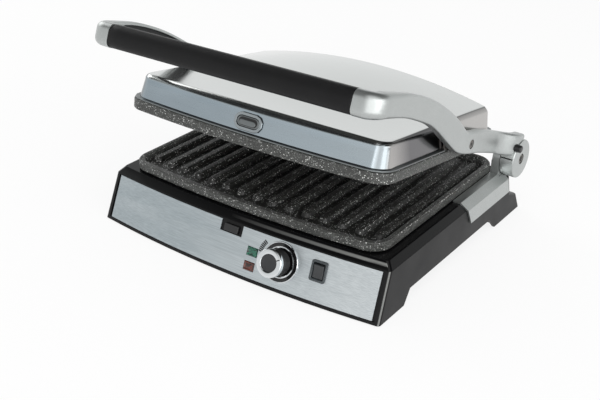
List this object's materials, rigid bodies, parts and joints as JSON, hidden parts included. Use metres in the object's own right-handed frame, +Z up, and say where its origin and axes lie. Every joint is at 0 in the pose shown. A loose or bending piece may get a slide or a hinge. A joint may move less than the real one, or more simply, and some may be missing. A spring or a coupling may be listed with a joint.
{
  "type": "contact grill",
  "caption": "Countertop contact grill with two removable ribbed plates, a floating lid on two side arms, a front grip, and a knob, lamps and a rocker switch on its front.",
  "frame": {"origin": "middle of the bounding box, on the table under the rubber feet", "axes": "+X to the right as the user sees it, +Y to the back, +Z up"},
  "size_m": [0.341, 0.3002, 0.2082],
  "materials": {
    "aluminised_sheet": "aluminised steel sheet",
    "black_rubber": "moulded rubber",
    "brass": "turned brass",
    "brushed_steel": "brushed stainless sheet",
    "ceramic": "glazed ceramic insulator",
    "chrome": "bright chrome plate",
    "element_sheath": "heat-darkened steel sheath",
    "gloss_black_plastic": "glossy moulded plastic",
    "green_lens": "green translucent lens",
    "grey_plastic": "moulded plastic",
    "grip_rubber": "soft-touch plastic",
    "plain_steel": "plain zinc-plated steel",
    "polished_steel": "mirror-polished stainless steel",
    "red_lens": "red translucent lens",
    "satin_black_plastic": "satin moulded plastic",
    "silver_paint": "satin silver paint",
    "speckled_coating": "speckled non-stick coating on an aluminium casting"
  },
  "bodies": {
    "base": {"base_floor": "satin_black_plastic", "base_housing": "gloss_black_plastic", "base_screw_front_left": "plain_steel", "base_screw_front_right": "plain_steel", "base_screw_rear_left": "plain_steel", "base_screw_rear_right": "plain_steel", "cord_gland": "black_rubber", "front_panel": "brushed_steel", "hinge_tower_left": "silver_paint", "hinge_tower_right": "silver_paint", "knob_dish": "chrome", "lamp_green": "green_lens", "lamp_holder": "ceramic", "lamp_red": "red_lens", "lower_element": "element_sheath", "lower_element_clip_left": "ceramic", "lower_element_clip_right": "ceramic", "lower_plate_clip": "plain_steel", "lower_reflector": "aluminised_sheet", "release_spring": "plain_steel", "rubber_foot_front_left": "black_rubber", "rubber_foot_front_right": "black_rubber", "rubber_foot_rear_left": "black_rubber", "rubber_foot_rear_right": "black_rubber", "switch_body": "satin_black_plastic", "terminal_block": "ceramic", "thermostat_body": "ceramic"},
    "hinge_pins": {"hinge_pin_left": "plain_steel", "hinge_pin_right": "plain_steel"},
    "arms": {"arm_left": "silver_paint", "arm_right": "silver_paint", "grip": "grip_rubber", "grip_core": "plain_steel", "pivot_bush_left": "brass", "pivot_bush_right": "brass", "pivot_screw_left": "plain_steel", "pivot_screw_right": "plain_steel"},
    "lid": {"latch_bezel": "chrome", "latch_spring": "plain_steel", "lid_frame": "silver_paint", "lid_lug_left": "plain_steel", "lid_lug_right": "plain_steel", "thermal_fuse": "brass", "top_cover": "polished_steel", "upper_element": "element_sheath", "upper_element_clip_left": "ceramic", "upper_element_clip_right": "ceramic", "upper_plate_clip": "plain_steel", "upper_reflector": "aluminised_sheet"},
    "knob": {"knob": "satin_black_plastic", "knob_ring": "chrome", "thermostat_shaft": "plain_steel"},
    "rocker": {"rocker": "grey_plastic"},
    "release_button": {"plate_release_button": "satin_black_plastic"},
    "latch_button": {"latch_button": "grey_plastic"},
    "lock_slider": {"lock_slider": "satin_black_plastic"},
    "lower_plate": {"lower_plate": "speckled_coating"},
    "upper_plate": {"upper_plate": "speckled_coating"}
  },
  "joints": [
    {"name": "opening_hinge", "type": "hinge", "parent": "base", "child": "hinge_pins", "pos_m": [-0.002, 0.12116, 0.067], "axis": [-1, 0, 0], "range_deg": [0, 159]},
    {"name": "closing_hinge", "type": "hinge", "parent": "hinge_pins", "child": "arms", "pos_m": [-0.002, 0.12116, 0.067], "axis": [-1, 0, 0], "range_deg": [-21, 0]},
    {"name": "lid_levelling", "type": "hinge", "parent": "hinge_pins", "child": "lid", "pos_m": [-0.002, 0.26013, 0.10238], "axis": [-1, 0, 0], "range_deg": [-8.8, 0]},
    {"name": "knob_turn", "type": "hinge", "parent": "base", "child": "knob", "pos_m": [0.0545, -0.1271, 0.0262], "axis": [-0.041, 0.9174, -0.3957], "range_deg": [-150, 120]},
    {"name": "rocker_tip", "type": "hinge", "parent": "base", "child": "rocker", "pos_m": [0.09335, -0.12142, 0.02844], "axis": [0.9972, 0.0748, 0], "range_deg": [-14, 0]},
    {"name": "plate_release_press", "type": "slide", "parent": "base", "child": "release_button", "axis": [0.0014, 0.9173, -0.3982], "range_m": [0, 0.003], "stiffness_N_per_m": 400, "springref_m": -0.004},
    {"name": "latch_press", "type": "slide", "parent": "lid", "child": "latch_button", "axis": [0, 0.9132, -0.4076], "range_m": [0, 0.003], "stiffness_N_per_m": 400, "springref_m": -0.004},
    {"name": "hinge_lock_slide", "type": "slide", "parent": "arms", "child": "lock_slider", "axis": [1, 0, 0], "range_m": [0, 0.005]},
    {"name": "lower_plate_slide", "type": "slide", "parent": "base", "child": "lower_plate", "axis": [0, -0.9848, 0.1736], "range_m": [0, 0.24]},
    {"name": "upper_plate_slide", "type": "slide", "parent": "lid", "child": "upper_plate", "axis": [0, -0.9965, 0.0837], "range_m": [0, 0.24]}
  ],
  "couplings": [
    {"joint": "lid_levelling", "follows": "closing_hinge", "ratio": 0.41905}
  ]
}
